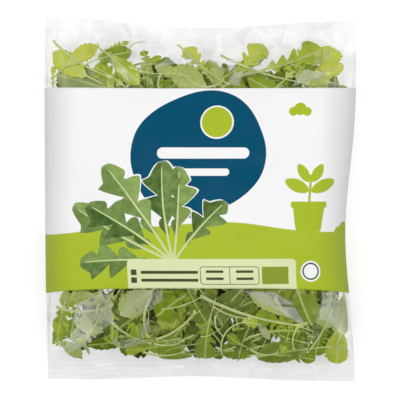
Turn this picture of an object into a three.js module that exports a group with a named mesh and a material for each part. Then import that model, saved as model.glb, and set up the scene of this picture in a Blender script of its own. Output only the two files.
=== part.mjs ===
// A sealed pillow bag of salad leaves, lying on its back with the printed front up.
// Millimetres. X runs across the bag, Y along it towards the top seal, and Z up from the table.
// The origin is on the table, under the middle of the bag.
import * as THREE from "three";

// The flat bag, seal edge to seal edge
const WIDTH = 200;
const LENGTH = 234;
const SEAL = 7; // height of each crimped end seal
const SEAL_THICKNESS = 0.8;

// The filled bag
const CROWN = 24.5; // rise of the front over the side folds
const BELLY = 27; // fall of the back below the side folds, before the table flattens it
const SIDE_Z = 17.5; // height of the side folds at mid length
const SEAL_Z = 8.5; // height of the end seals, which droop a little
const RISE_LENGTH = 82; // distance from a seal at which the bag is full
const RISE_POWER = 2.3;
const SIDE_ROUNDNESS = 2.7; // 2 gives an elliptical section, and more gives fuller sides

// The outline, pulled in by what fills it
const TOP_DIP = 5.4; // how far the top seal's middle is pulled in
const TOP_LEAN = 2.4; // how much shorter the bag is at its top right corner
const BOTTOM_DIP = 2.4;
const BOTTOM_LEAN = 1.8; // how much shorter the bag is at its bottom left corner
const DIP_SHARE = 0.85; // share of the half width over which a seal dips
const LEFT_TAPER = 1.6; // how far the left fold leans in, top to bottom
const WAIST = 7.5; // how far the right fold is pulled in at the waist
const WAIST_Y = -22;
const WAIST_SPREAD = 58;

// Puckers that run out of the seals, waves of the seals, and the lumps of the leaves
const PUCKER = 1.5;
const PUCKER_REACH = 13; // distance from the seal at which puckers are deepest
const PUCKER_WAVES = [17, 23.5, 37];
const SEAL_WAVE = 1.8;
const SEAL_WAVE_LENGTH = 88;
const LUMP = 1.3;
const LUMP_WAVES = [31, 38, 47, 59, 73];
const GOLDEN_ANGLE = Math.PI * (3 - Math.sqrt(5));

// The fin seal down the back, folded flat to one side
const FIN_WIDTH = 12;
const FIN_X = 3; // its middle, just right of the bag's
const FIN_THICKNESS = 0.6;
const FIN_STEP = 0.5; // run of the small step at each long edge of the fin

// Spacing of the faces
const COLUMNS = 56;
const FOLD_CROWDING = 0.6; // 0 spaces the columns evenly, and 1 crowds them most at the side folds
const FIRST_ROW = 2.6;
const ROW_GROWTH = 1.125;

const HALF_WIDTH = WIDTH / 2;
const HALF_LENGTH = LENGTH / 2;
const { clamp, lerp } = THREE.MathUtils;

const dip = (u) => 0.5 + 0.5 * Math.cos(Math.PI * clamp(u / DIP_SHARE, -1, 1));

const topEdge = (u) => HALF_LENGTH - TOP_DIP * dip(u) - (TOP_LEAN * (1 + u)) / 2;

const bottomEdge = (u) => -HALF_LENGTH + BOTTOM_DIP * dip(u) + (BOTTOM_LEAN * (1 - u)) / 2;

const leftEdge = (y) => -HALF_WIDTH + LEFT_TAPER * (0.5 - y / LENGTH);

const rightEdge = (y) => HALF_WIDTH - WAIST * Math.exp(-(((y - WAIST_Y) / WAIST_SPREAD) ** 2));

// Share of the full height at a distance from the nearer seal
function fillAt(distance) {
  const left = 1 - clamp(distance / RISE_LENGTH, 0, 1);
  return 1 - left ** RISE_POWER;
}

function puckerAt(x, distance, shift) {
  if (distance <= 0) return 0;
  const reach = (distance / PUCKER_REACH) * Math.exp(1 - distance / PUCKER_REACH);
  const waves = PUCKER_WAVES.map((wave, i) => Math.sin((2 * Math.PI * x) / wave + shift * (i + 1)));
  return (PUCKER * reach * waves.reduce((sum, wave) => sum + wave)) / PUCKER_WAVES.length;
}

function lumpAt(x, y, shift) {
  const waves = LUMP_WAVES.map((wave, i) => {
    const turn = i * GOLDEN_ANGLE + shift;
    const along = x * Math.cos(turn) + y * Math.sin(turn);
    return Math.sin((2 * Math.PI * along) / wave + i);
  });
  return (LUMP * waves.reduce((sum, wave) => sum + wave)) / Math.sqrt(LUMP_WAVES.length);
}

const sealHeight = (x, y) =>
  SEAL_Z + SEAL_WAVE * Math.sin((2 * Math.PI * x) / SEAL_WAVE_LENGTH + Math.sign(y));

const onFin = (u) => Math.abs(u * HALF_WIDTH - FIN_X) <= FIN_WIDTH / 2;

// A point of the film. u and v run from -1 to 1 across and along, and face is 1 on the front, -1 on the back.
function filmPoint(u, v, face) {
  const top = topEdge(u);
  const bottom = bottomEdge(u);
  const y = lerp(bottom, top, (v + 1) / 2);
  const x = lerp(leftEdge(y), rightEdge(y), (u + 1) / 2);
  const distance = Math.min(top - SEAL - y, y - bottom - SEAL);
  const fill = fillAt(distance);
  const bulge = fill * Math.sqrt(1 - Math.abs(u) ** SIDE_ROUNDNESS);
  const middle = lerp(sealHeight(x, y), SIDE_Z, fill);
  const puckers = puckerAt(x, distance, Math.sign(y) + 2 * face) * (1 - u ** 4);
  const relief = puckers + lumpAt(x, y, 2 * face) * bulge;
  if (face > 0)
    return new THREE.Vector3(x, y, middle + CROWN * bulge + relief + SEAL_THICKNESS / 2);
  const back = Math.max(middle - BELLY * bulge + relief - SEAL_THICKNESS / 2, FIN_THICKNESS);
  return new THREE.Vector3(x, y, onFin(u) ? back - FIN_THICKNESS : back);
}

// Places of the columns, from -1 to 1: closer together at the folds, with a pair at each edge of the fin
function columnPlaces() {
  const finEdges = [-1, 1].flatMap((side) => [
    (FIN_X + (side * FIN_WIDTH) / 2) / HALF_WIDTH,
    (FIN_X + side * (FIN_WIDTH / 2 + FIN_STEP)) / HALF_WIDTH,
  ]);
  const spaced = [];
  for (let i = 0; i <= COLUMNS; i++) {
    const even = -1 + (2 * i) / COLUMNS;
    spaced.push(lerp(even, Math.sin((even * Math.PI) / 2), FOLD_CROWDING));
  }
  const clearOfFin = (place) => finEdges.every((edge) => Math.abs(place - edge) > 1 / COLUMNS);
  return [...spaced.filter(clearOfFin), ...finEdges].sort((a, b) => a - b);
}

// Places of the rows: one at each seal's inner edge, and steps that grow away from it
function rowPlaces() {
  const distances = [0, SEAL - 0.6, SEAL];
  for (let step = FIRST_ROW; distances.at(-1) + step < HALF_LENGTH - step / 2; step *= ROW_GROWTH)
    distances.push(distances.at(-1) + step);
  const half = distances.map((distance) => -1 + distance / HALF_LENGTH);
  return [...half, ...half.map((place) => -place).reverse()];
}

function bagGeometry() {
  const columns = columnPlaces();
  const rows = rowPlaces();
  const geometry = new THREE.BoxGeometry(2, 2, 2, columns.length - 1, rows.length - 1, 1);
  const points = geometry.attributes.position;
  const placeOf = (value, places) => places[Math.round(((value + 1) / 2) * (places.length - 1))];
  for (let i = 0; i < points.count; i++) {
    const u = placeOf(points.getX(i), columns);
    const v = placeOf(points.getY(i), rows);
    const point = filmPoint(u, v, Math.sign(points.getZ(i)));
    points.setXYZ(i, point.x, point.y, point.z);
  }
  geometry.computeVertexNormals();
  return geometry;
}

const film = new THREE.MeshStandardMaterial({ color: 0x93a862, roughness: 0.35, metalness: 0 });
const bag = new THREE.Mesh(bagGeometry(), film);
bag.name = "salad_bag";

const model = new THREE.Group();
model.add(bag);

export default model;
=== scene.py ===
# Looks of the bag of salad leaves: its clear film, the printed band round it, and the leaves inside.
# Lengths are in millimetres up to the finished mesh, which is in metres.
import math
from collections import namedtuple

import bpy
import numpy as np
from mathutils.bvhtree import BVHTree
from mathutils.geometry import delaunay_2d_cdt
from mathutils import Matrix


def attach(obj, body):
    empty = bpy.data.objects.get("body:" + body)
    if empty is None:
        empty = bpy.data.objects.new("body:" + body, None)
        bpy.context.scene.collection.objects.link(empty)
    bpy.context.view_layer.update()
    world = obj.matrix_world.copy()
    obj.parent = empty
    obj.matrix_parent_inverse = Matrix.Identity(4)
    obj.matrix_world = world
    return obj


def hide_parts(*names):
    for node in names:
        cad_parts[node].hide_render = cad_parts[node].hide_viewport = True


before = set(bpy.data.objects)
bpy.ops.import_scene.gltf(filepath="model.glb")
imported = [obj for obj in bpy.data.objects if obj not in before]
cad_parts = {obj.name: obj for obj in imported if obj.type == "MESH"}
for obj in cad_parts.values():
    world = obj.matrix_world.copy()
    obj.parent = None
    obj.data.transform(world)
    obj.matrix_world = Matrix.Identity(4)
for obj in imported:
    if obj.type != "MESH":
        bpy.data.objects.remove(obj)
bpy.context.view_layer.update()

MM = 0.001
GOLDEN_ANGLE = math.pi * (3 - math.sqrt(5))

# Camera
VIEW_WIDTH = 255.6  # what the frame shows at the bag's middle height
CAMERA_HEIGHT = 1300
MIDDLE_HEIGHT = 20
SENSOR = 36

# The flat bag
WIDTH = 200
LENGTH = 234
SEAL = 7

# The filled bag
CROWN = 24.5
BELLY = 27
SIDE_Z = 17.5
SEAL_Z = 8.5
RISE_LENGTH = 82
RISE_POWER = 2.3
SIDE_ROUNDNESS = 2.7

# The outline
TOP_DIP = 5.4
TOP_LEAN = 2.4
BOTTOM_DIP = 2.4
BOTTOM_LEAN = 1.8
DIP_SHARE = 0.85
LEFT_TAPER = 1.6
WAIST = 7.5
WAIST_Y = -22
WAIST_SPREAD = 58

# Puckers, waves and lumps
PUCKER = 1.5
PUCKER_REACH = 13
PUCKER_WAVES = (17, 23.5, 37)
SEAL_WAVE = 1.8
SEAL_WAVE_LENGTH = 88
LUMP = 1.3
LUMP_WAVES = (31, 38, 47, 59, 73)

# The film and its seals
SHEET_GAP = 0.1  # half the gap between the two sheets where they meet
TABLE_GAP = 0.7  # lowest place of the back sheet, over the fin
FIN_X = 3
FIN_WIDTH = 12
RIB_PITCH = 1.5
TOP_RIB = 0.05
BOTTOM_RIB = 0.16

# The printed band
BAND_TOP = 70.7
BAND_TOP_RISE = 1.0  # how much higher its top edge is at the folds
BAND_BOTTOM = -55.7
BAND_BOTTOM_SAG = 3.7
BAND_GAP = 0.25  # how far it stands off the clear film, so that the two never cross
BAND_THICKNESS = 0.15

HALF_WIDTH = WIDTH / 2
HALF_LENGTH = LENGTH / 2


def lerp(a, b, share):
    return a + (b - a) * share


def limited(values):
    """The values, kept from 0 to 1."""
    return np.clip(values, 0, 1)


def dip(u):
    return 0.5 + 0.5 * np.cos(np.pi * np.clip(u / DIP_SHARE, -1, 1))


def top_edge(u):
    return HALF_LENGTH - TOP_DIP * dip(u) - TOP_LEAN * (1 + u) / 2


def bottom_edge(u):
    return -HALF_LENGTH + BOTTOM_DIP * dip(u) + BOTTOM_LEAN * (1 - u) / 2


def left_edge(y):
    return -HALF_WIDTH + LEFT_TAPER * (0.5 - y / LENGTH)


def right_edge(y):
    return HALF_WIDTH - WAIST * np.exp(-(((y - WAIST_Y) / WAIST_SPREAD) ** 2))


def width_share(x, y):
    """Where x is between the side folds, from -1 to 1."""
    left = left_edge(y)
    return 2 * (x - left) / (right_edge(y) - left) - 1


def place_across(u, y):
    return lerp(left_edge(y), right_edge(y), (u + 1) / 2)


def pucker_at(x, distance, shift):
    reach = np.maximum(distance, 0) / PUCKER_REACH
    waves = sum(
        np.sin(2 * np.pi * x / wave + shift * (i + 1)) for i, wave in enumerate(PUCKER_WAVES)
    )
    return PUCKER * reach * np.exp(1 - reach) * waves / len(PUCKER_WAVES)


def lump_at(x, y, shift):
    total = 0
    for i, wave in enumerate(LUMP_WAVES):
        turn = i * GOLDEN_ANGLE + shift
        total = total + np.sin(2 * np.pi * (x * math.cos(turn) + y * math.sin(turn)) / wave + i)
    return LUMP * total / math.sqrt(len(LUMP_WAVES))


class Crumple:
    """Flat facets between straight creases: scattered points at random heights, joined by triangles."""

    def __init__(self, seed, step_across, step_along):
        rng = np.random.default_rng(seed)
        xs, ys = np.meshgrid(
            np.arange(-HALF_WIDTH - 15, HALF_WIDTH + 15, step_across),
            np.arange(-HALF_LENGTH - 15, HALF_LENGTH + 15, step_along),
        )
        xs = xs + rng.uniform(-0.46, 0.46, xs.shape) * step_across
        ys = ys + rng.uniform(-0.46, 0.46, ys.shape) * step_along
        heights = rng.uniform(-1, 1, xs.shape)
        flat = list(zip(xs.ravel().tolist(), ys.ravel().tolist()))
        triangles = delaunay_2d_cdt(flat, [], [], 0, 1e-4)[2]
        corners = [(x, y, z) for (x, y), z in zip(flat, heights.ravel().tolist())]
        self.tree = BVHTree.FromPolygons(corners, triangles, epsilon=1e-4)
        self.tones = rng.random(len(triangles))

    def cast(self, x, y, read):
        """What read makes of the facet over each place, and 0 where there is none."""
        x, y = np.broadcast_arrays(x, y)
        places = zip(x.ravel().tolist(), y.ravel().tolist())
        hits = (self.tree.ray_cast((px, py, 50), (0, 0, -1)) for px, py in places)
        return np.array([read(hit) if hit[0] else 0 for hit in hits]).reshape(x.shape)

    def at(self, x, y):
        """Height of the crumpled film over each place."""
        return self.cast(x, y, lambda hit: hit[0].z)

    def tone_at(self, x, y):
        """How much light the facet at each place holds back, from 0 to 1."""
        return self.cast(x, y, lambda hit: self.tones[hit[2]])


HEAD_CRUMPLE = 1.5
HEAD_REACH = 9
TAIL_CRUMPLE = 0.9
TAIL_REACH = 8
WINDOW_CRUMPLE = 0.5
BAND_FADE = 6  # distance within the band over which the creases fade out
SEAL_FADE = 4  # distance from a seal over which the wide creases fade in

crumples = {
    1: (Crumple(11, 9, 13), Crumple(12, 21, 17)),
    -1: (Crumple(13, 11, 14), Crumple(14, 23, 19)),
}


def crumple_at(x, y, top_distance, bottom_distance, face):
    head = np.maximum(top_distance, 0) / HEAD_REACH
    tail = np.maximum(bottom_distance, 0) / TAIL_REACH
    ends = HEAD_CRUMPLE * head * np.exp(1 - head) + TAIL_CRUMPLE * tail * np.exp(1 - tail)
    in_band = limited((BAND_TOP - y) / BAND_FADE) * limited((y - BAND_BOTTOM) / BAND_FADE)
    wide = WINDOW_CRUMPLE * (1 - in_band) * limited(np.minimum(top_distance, bottom_distance) / SEAL_FADE)
    fine, coarse = crumples[face]
    return ends * fine.at(x, y) + wide * coarse.at(x, y)


def film_heights(u, y, face, crumpled=True):
    """Height of the front sheet (face 1) or the back sheet (face -1) over a place of the table."""
    x = place_across(u, y)
    top_distance = top_edge(u) - SEAL - y
    bottom_distance = y - bottom_edge(u) - SEAL
    distance = np.minimum(top_distance, bottom_distance)
    fill = 1 - (1 - limited(distance / RISE_LENGTH)) ** RISE_POWER
    bulge = fill * np.sqrt(np.maximum(1 - np.abs(u) ** SIDE_ROUNDNESS, 0))
    seal_height = SEAL_Z + SEAL_WAVE * np.sin(2 * np.pi * x / SEAL_WAVE_LENGTH + np.sign(y))
    middle = lerp(seal_height, SIDE_Z, fill)
    relief = pucker_at(x, distance, np.sign(y) + 2 * face) * (1 - u**4)
    relief = relief + lump_at(x, y, 2 * face) * bulge
    if crumpled:
        relief = relief + crumple_at(x, y, top_distance, bottom_distance, face) * (1 - u**6)
        rib = np.where(y > 0, TOP_RIB, BOTTOM_RIB) * limited(-distance / 0.8)
        middle = middle + rib * np.sin(2 * np.pi * distance / RIB_PITCH)
    if face > 0:
        return middle + CROWN * bulge + relief + SHEET_GAP
    return np.maximum(middle - BELLY * bulge + relief - SHEET_GAP, TABLE_GAP)


def grid_faces(rows, columns, start=0, flip=False):
    """Four-sided faces of a grid of points stored row by row."""
    first = (np.arange(rows - 1)[:, None] * columns + np.arange(columns - 1)[None, :]).ravel() + start
    faces = np.stack([first, first + 1, first + columns + 1, first + columns], 1)
    return faces[:, ::-1] if flip else faces


def wall_faces(loop, size):
    """Faces that join a loop of points to the same loop in a grid stored size points later."""
    after = np.roll(loop, -1)
    return np.stack([loop, loop + size, after + size, after], 1)


def plate_faces(rows, columns):
    """Faces of a closed plate: an upper grid, a lower grid stored after it, and the walls between."""
    size = rows * columns
    index = np.arange(size).reshape(rows, columns)
    rim = np.concatenate([index[0, :-1], index[:-1, -1], index[-1, :0:-1], index[:0:-1, 0]])
    lower = grid_faces(rows, columns, size, flip=True)
    return np.concatenate([grid_faces(rows, columns), lower, wall_faces(rim, size)])


def stacked(*grids):
    """The points of these grids, one grid after the other."""
    return np.concatenate([grid.reshape(-1, 3) for grid in grids])


def make_mesh(name, points, faces):
    """A smooth mesh, from points in millimetres."""
    mesh = bpy.data.meshes.new(name)
    mesh.from_pydata((points * MM).tolist(), [], faces.tolist())
    mesh.polygons.foreach_set("use_smooth", [True] * len(mesh.polygons))
    mesh.update()
    return mesh


def add_values(mesh, name, values, kind="FLOAT"):
    attribute = mesh.attributes.new(name, kind, "POINT")
    member = "vector" if kind == "FLOAT_VECTOR" else "value"
    attribute.data.foreach_set(member, np.asarray(values).ravel())


def add_object(name, data):
    made = bpy.data.objects.new(name, data)
    bpy.context.scene.collection.objects.link(made)
    return made


def make_piece(name, points, faces, material):
    """A finished piece of the bag."""
    mesh = make_mesh(name, points, faces)
    mesh.materials.append(material)
    return finish_piece(add_object(name, mesh))


def finish_piece(piece):
    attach(piece, "root")
    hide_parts("salad_bag")
    return piece


# Nodes, and shader maths as Python expressions


def add_node(tree, kind, settings=None, inputs=None):
    """A node of this kind: its settings first, then the values or links of its sockets."""
    node = tree.nodes.new(kind)
    for name, value in (settings or {}).items():
        if name == "stops":
            set_stops(node.color_ramp, value)
        else:
            setattr(node, name, value)
    for name, value in (inputs or {}).items():
        if isinstance(value, bpy.types.NodeSocket):
            tree.links.new(value, node.inputs[name])
        else:
            node.inputs[name].default_value = value
    return node


def math_node(operation, swapped=False):
    """A method of Value that adds a Math node."""

    def method(self, *others):
        values = (*others, self) if swapped else (self, *others)
        return self.shader.node("Math", {"operation": operation}, dict(enumerate(values)))

    return method


class Value:
    """One output socket of a material's nodes, which arithmetic turns into further nodes."""

    def __init__(self, shader, socket):
        self.shader = shader
        self.socket = socket

    __add__ = __radd__ = math_node("ADD")
    __sub__ = math_node("SUBTRACT")
    __rsub__ = math_node("SUBTRACT", swapped=True)
    __mul__ = __rmul__ = math_node("MULTIPLY")
    __truediv__ = math_node("DIVIDE")
    __pow__ = math_node("POWER")
    __abs__ = math_node("ABSOLUTE")
    sin = math_node("SINE")
    root = math_node("SQRT")
    fraction = math_node("FRACT")
    most = math_node("MAXIMUM")
    least = math_node("MINIMUM")

    def clamped(self):
        return self.most(0).least(1)


class Shader:
    """The nodes of one material."""

    def __init__(self, name):
        self.material = bpy.data.materials.new(name)
        self.material.use_nodes = True
        self.tree = self.material.node_tree
        self.tree.nodes.clear()

    def node(self, kind, settings=None, inputs=None, output=0):
        """The output of a new node of this kind, from its settings and the values of its sockets."""
        sockets = {name: getattr(value, "socket", value) for name, value in (inputs or {}).items()}
        outputs = add_node(self.tree, "ShaderNode" + kind, settings, sockets).outputs
        return Value(self, outputs[output]) if outputs else None

    def mix(self, share, a, b):
        """Colour a where share is 0, b where it is 1."""
        inputs = {"Factor": share, 6: a, 7: b}
        return self.node("Mix", {"data_type": "RGBA"}, inputs, output=2)

    def blend(self, share, a, b):
        """Surface a where share is 0, b where it is 1."""
        return self.node("MixShader", None, {0: share, 1: a, 2: b})

    def attribute(self, name):
        return self.node("Attribute", {"attribute_name": name}, output=2)

    def map_places(self, uv_map):
        """The x and y of a UV map, in metres."""
        vector = self.node("UVMap", {"uv_map": uv_map})
        parts = self.node("SeparateXYZ", None, {0: vector}).socket.node.outputs
        return Value(self, parts[0]), Value(self, parts[1])

    def noise(self, scale, detail):
        place = self.node("TexCoord", output=3)
        return self.node("TexNoise", None, {"Vector": place, "Scale": scale, "Detail": detail})

    def bump(self, strength, height):
        inputs = {"Strength": strength, "Distance": BUMP_DEPTH, "Height": height}
        return self.node("Bump", None, inputs)

    def output(self, surface):
        self.node("OutputMaterial", None, {"Surface": surface})
        return self.material


BUMP_DEPTH = 0.5 * MM


def set_stops(ramp, stops):
    while len(ramp.elements) > 1:
        ramp.elements.remove(ramp.elements[-1])
    for i, (place, colour) in enumerate(stops):
        element = ramp.elements[0] if i == 0 else ramp.elements.new(place)
        element.position = place
        element.color = colour


def srgb(red, green, blue):
    """A colour of 0 to 255 parts, as the linear colour that a shader takes."""
    return tuple(
        part / 12.92 if part <= 0.04045 else ((part + 0.055) / 1.055) ** 2.4
        for part in (red / 255, green / 255, blue / 255)
    ) + (1,)


# Clear film

FILM_SHARE = 0.004  # share of the light that a sheet seen straight on sends back
FILM_EDGE_SHARE = 0.32  # what the share grows by at a grazing angle
SEALED_SHARE = 0.015  # what the crimped seals add
HAZE_SHARE = 0.42  # what a flat of the creased film adds where it catches the light
FILM_TINT = 0.985
FILM_ROUGHNESS = 0.1
GREY_TINT = 0.89  # of the film where it is most grey, which is at the creased tail

# Flats of the creased front film that catch the light, from the photograph:
# strength, then the x and y of each corner
HAZE_PATCHES = (
    (1.3, 17, 89.5, 18, 80.5, 26, 90),
    (0.6, 3, 89, 17, 81, 12, 89),
    (0.75, -30, 83.5, -20, 86, -12, 88, -18, 94, -25, 88),
    (0.45, -15, 96, -10, 88, 0, 86, -1, 90, -8, 92),
    (0.5, 30, 80, 33, 80, 40, 90, 38, 92),
    (0.6, 58, 72, 76, 77.5, 83, 80.5, 66, 83),
    (0.35, 70, 84, 83, 90, 85, 97, 77, 97),
    (0.5, -45, 97, -46, 90, -40, 95),
    (0.4, -62, 92, -45, 75, -40, 76, -57, 92),
    (0.5, 84, 76, 80, 72, 92, 72, 92, 80),
    (0.8, 18, 79, 19, 73, 24, 72, 28, 83),
    (0.6, -78, -66, -80, -78, -66, -84, -55, -78, -57, -62, -62, -58),
    (0.45, -77, -78, -88, -95, -85, -98, -76, -95, -62, -84),
    (0.5, -44, -57, -52, -74, -36, -71, -23, -63, -24, -57),
    (0.5, -34, -75, -40, -84, -37, -86, -31, -83),
    (0.5, -57, -90.5, -47, -95, -32, -90, -40, -88),
    (0.7, 27, -57, 40, -67, 60, -66, 46, -58),
    (0.85, 42, -66, 62, -78, 66, -78, 60, -68),
    (0.6, 35, -77, 39, -87, 46, -89, 38, -78),
    (0.6, 77, -58, 76, -75, 93, -86, 97, -82, 94, -58),
    (0.3, 84, -93, 86, -97, 92, -98, 94, -94),
)
HAZE_EDGE = 0.8  # blur of a patch's edge
TAIL_RIDGE_PITCH = 3.1

# Painted glints: flats of the film left clear, so that they show bright against the grey ones, in the same
# way
PAINTED_GLINT_PATCHES = (
    (0.8, -24, 107, -27, 100, -19, 97, -16, 104),
    (0.7, -45, 104, -44, 96, -39, 98, -40, 105),
    (1, 9, 106, 12, 95, 14, 96, 13, 107),
    (1, 16, 92, 26, 91, 27, 99, 20, 97),
    (1, 57, 107, 60, 97, 64, 99, 63, 107),
    (0.8, 85, 107, 88, 97, 91, 99, 89, 107),
    (0.8, -70, 108, -66, 101, -62, 108),
    (0.7, 40, 107, 44, 101, 50, 107),
    (0.8, -92, 108, -88, 101, -84, 109),
    (0.6, -19, -107, -12, -109, -10, -106),
    (0.6, 4, -105, 9, -108, 12, -106),
    (0.6, 31, -105, 34, -108, 36, -105),
    (0.5, 38, -108, 44, -110, 47, -108),
    (0.5, 70, -106, 74, -110, 79, -107),
    (0.4, -70, -104, -66, -108, -52, -105),
)


def patch_cover(x, y, corners):
    """1 inside a convex patch and 0 outside. Its corners run anticlockwise."""
    nearest = np.full(x.shape, np.inf)
    for (ax, ay), (bx, by) in zip(corners, corners[1:] + corners[:1]):
        inward = ((bx - ax) * (y - ay) - (by - ay) * (x - ax)) / math.hypot(bx - ax, by - ay)
        nearest = np.minimum(nearest, inward)
    return limited(0.5 + nearest / HAZE_EDGE)


def patched(x, y, patches):
    """Strength of the strongest patch at each place."""
    strongest = np.zeros(x.shape)
    for strength, *ends in patches:
        corners = list(zip(ends[::2], ends[1::2]))
        strongest = np.maximum(strongest, strength * patch_cover(x, y, corners))
    return strongest


TAIL_GREY = 0.66
TAIL_GREY_START = -84  # where the grey of the tail begins, and below it how far it takes to be full
TAIL_GREY_REACH = 16
TAIL_PAINTED_CREASES = 0.14  # strength of the painted crease lines, light and dark, that run along the tail's seal
CREASES_START = -98
CREASES_REACH = 6


def film_grey(x, y):
    """How grey the film is: painted shade and reflection on the facets of its head, all of its tail,
    painted crease lines along the tail's seal, and less grey in the painted glints.
    """
    fine, coarse = crumples[1]
    outside_band = np.abs(y - (BAND_TOP + BAND_BOTTOM) / 2) > (BAND_TOP - BAND_BOTTOM) / 2 - 3
    # Painted shade and reflection: each facet of the head is greyed at random, standing in for the light
    # and dark that the creased facets reflect
    facets = 0.6 * fine.tone_at(x, y) ** 2 + 0.4 * coarse.tone_at(x, y) ** 2
    tail = limited((TAIL_GREY_START - y) / TAIL_GREY_REACH)
    creased = limited((CREASES_START - y) / CREASES_REACH) * limited((30 - x) / 80)
    # Painted crease lines: light and dark grey lines along the tail's seal, standing in for how its creases
    # catch the light
    wandering = y + 1.6 * np.sin(x / 19) + 0.7 * np.sin(x / 7)
    painted_crease_lines = np.sin(2 * np.pi * wandering / TAIL_RIDGE_PITCH)
    grey = facets * (1 - 0.6 * tail) + TAIL_GREY * tail + TAIL_PAINTED_CREASES * creased * painted_crease_lines
    # The painted glints take the grey away
    return outside_band * grey * (1 - patched(x, y, PAINTED_GLINT_PATCHES))


def clear_film_material(name, tint, grey_tint, film_share):
    """Film that lets light through and mirrors a little. grey_tint is its tint where it is most grey."""
    shader = Shader(name)
    cloud = shader.noise(110, 2)
    grazing = shader.node("Fresnel", None, {"IOR": 1.35})
    sealed = shader.attribute("sealed")
    haze = shader.attribute("haze") * (cloud * 0.8 + 0.6)
    share = grazing * FILM_EDGE_SHARE + film_share + sealed * SEALED_SHARE + haze * HAZE_SHARE
    roughness = (sealed * 0.4 + haze * 0.5 + FILM_ROUGHNESS).clamped()
    looks = {"Base Color": (0.93, 0.94, 0.94, 1), "Metallic": 0.82, "Roughness": roughness}
    gloss = shader.node("BsdfPrincipled", None, looks)
    tints = ((part, part, part, 1) for part in (tint, grey_tint))
    clear, grey = (shader.node("BsdfTransparent", None, {"Color": colour}) for colour in tints)
    # The film's grey, which holds its painted facet shade, painted crease lines and painted glints, sets
    # how much light passes
    through = shader.blend(shader.attribute("grey"), clear, grey)
    return shader.output(shader.blend(share.clamped(), through, gloss))


FILM_COLUMNS = 230
WINDOW_STEP = 0.62
COVERED_STEP = 5
SOFTENINGS = 3


def film_rows():
    """Shares of the length with points of the film: close in the windows, far apart under the print."""
    edges = ((-1, -0.46, WINDOW_STEP), (-0.46, 0.6, COVERED_STEP), (0.6, 1, WINDOW_STEP))
    rows = [
        np.linspace(a, b, round((b - a) * HALF_LENGTH / step), endpoint=False)
        for a, b, step in edges
    ]
    return np.concatenate(rows + [np.array([1.0])])


def crowded(count):
    """Places from -1 to 1 that crowd a little towards the folds."""
    even = np.linspace(-1, 1, count)
    return lerp(even, np.sin(even * np.pi / 2), 0.55)


def sheet_points(u, v, face):
    y = lerp(bottom_edge(u), top_edge(u), (v + 1) / 2)
    return np.stack([place_across(u, y), y, film_heights(u, y, face)], -1)


def softened(points):
    """The sheet with its creases rounded a little in both windows."""
    y = points[..., 1]
    in_window = (y > BAND_TOP + 1) | (y < BAND_BOTTOM - 1)
    inner = in_window & (np.abs(y) < HALF_LENGTH - SEAL - 4)
    inner[:, [0, -1]] = False
    for _ in range(SOFTENINGS):
        z = points[..., 2]
        for axis in (0, 1):
            z = (np.roll(z, 1, axis) + 2 * z + np.roll(z, -1, axis)) / 4
        points[..., 2] = np.where(inner, z, points[..., 2])
    return points


def add_clear_film(material):
    rows = film_rows()
    u, v = np.meshgrid(crowded(FILM_COLUMNS), rows)
    front = softened(sheet_points(u, v, 1))
    back = softened(sheet_points(u, v, -1))
    faces = plate_faces(len(rows), FILM_COLUMNS)
    film = make_piece("clear_film", stacked(front, back), faces, material)
    inward = np.minimum(top_edge(u) - SEAL - front[..., 1], front[..., 1] - bottom_edge(u) - SEAL)
    sealed = limited(0.5 - inward / 1.5)
    add_values(film.data, "sealed", np.tile(sealed.ravel(), 2))
    haze = patched(front[..., 0], front[..., 1], HAZE_PATCHES)
    add_values(film.data, "haze", np.concatenate([haze.ravel(), np.zeros(haze.size)]))
    grey = film_grey(front[..., 0], front[..., 1])
    add_values(film.data, "grey", np.tile(grey.ravel(), 2))


FIN_DROP = 0.3  # gap between the back sheet and the fin, which leaves room for the band
FIN_THICKNESS = 0.25
FIN_COLUMNS = 9


def fin_part(rows):
    """Points and faces of the fin seal, folded flat under the back sheet, for rows along the bag."""
    across, v = np.meshgrid(np.linspace(-0.5, 0.5, FIN_COLUMNS) * FIN_WIDTH + FIN_X, rows)
    u = across / HALF_WIDTH
    y = lerp(bottom_edge(u), top_edge(u), (v + 1) / 2)
    z = film_heights(u, y, -1) - FIN_DROP
    upper = np.stack([across, y, z], -1)
    return stacked(upper, upper - [0, 0, FIN_THICKNESS]), plate_faces(len(rows), FIN_COLUMNS)


def row_share(y):
    """Share of the length at which the fin reaches this y, from -1 to 1."""
    u = FIN_X / HALF_WIDTH
    return 2 * (y - bottom_edge(u)) / (top_edge(u) - bottom_edge(u)) - 1


def add_fin(clear, printed):
    low, high = row_share(BAND_BOTTOM), row_share(BAND_TOP)
    tail, tail_faces = fin_part(np.linspace(-1, low, 60))
    head, head_faces = fin_part(np.linspace(high, 1, 50))
    points = np.concatenate([tail, head])
    faces = np.concatenate([tail_faces, head_faces + len(tail)])
    make_piece("fin_seal_clear", points, faces, clear)
    points, faces = fin_part(np.linspace(low, high, 60))
    fin = make_piece("fin_seal_printed", points, faces, printed)
    places = points[faces][..., :2].copy()
    places[..., 0] = PRINT_SEAM - places[..., 0]
    lay_print(fin, places)


# Printed band

PRINT_SEAM = 207  # where the print meets itself, half way round the bag
BAND_COLUMNS = 150  # on each face
BAND_ROWS = 105
PRINT_MAP = "print"


def lay_print(piece, places):
    """Gives each corner of the piece's faces its place on the print, from lengths in millimetres."""
    layer = piece.data.uv_layers.new(name=PRINT_MAP)
    layer.uv.foreach_set("vector", (places * MM).astype(np.float32).ravel())


def band_edge_bottom(u):
    return BAND_BOTTOM - BAND_BOTTOM_SAG * u**4


def band_edge_top(u):
    return BAND_TOP + BAND_TOP_RISE * u * u


def band_ring(u, y, face):
    z = film_heights(u, y, face) + face * BAND_GAP
    x = place_across(u, y) + BAND_GAP * u
    return np.stack([x, y, z], -1)


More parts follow.
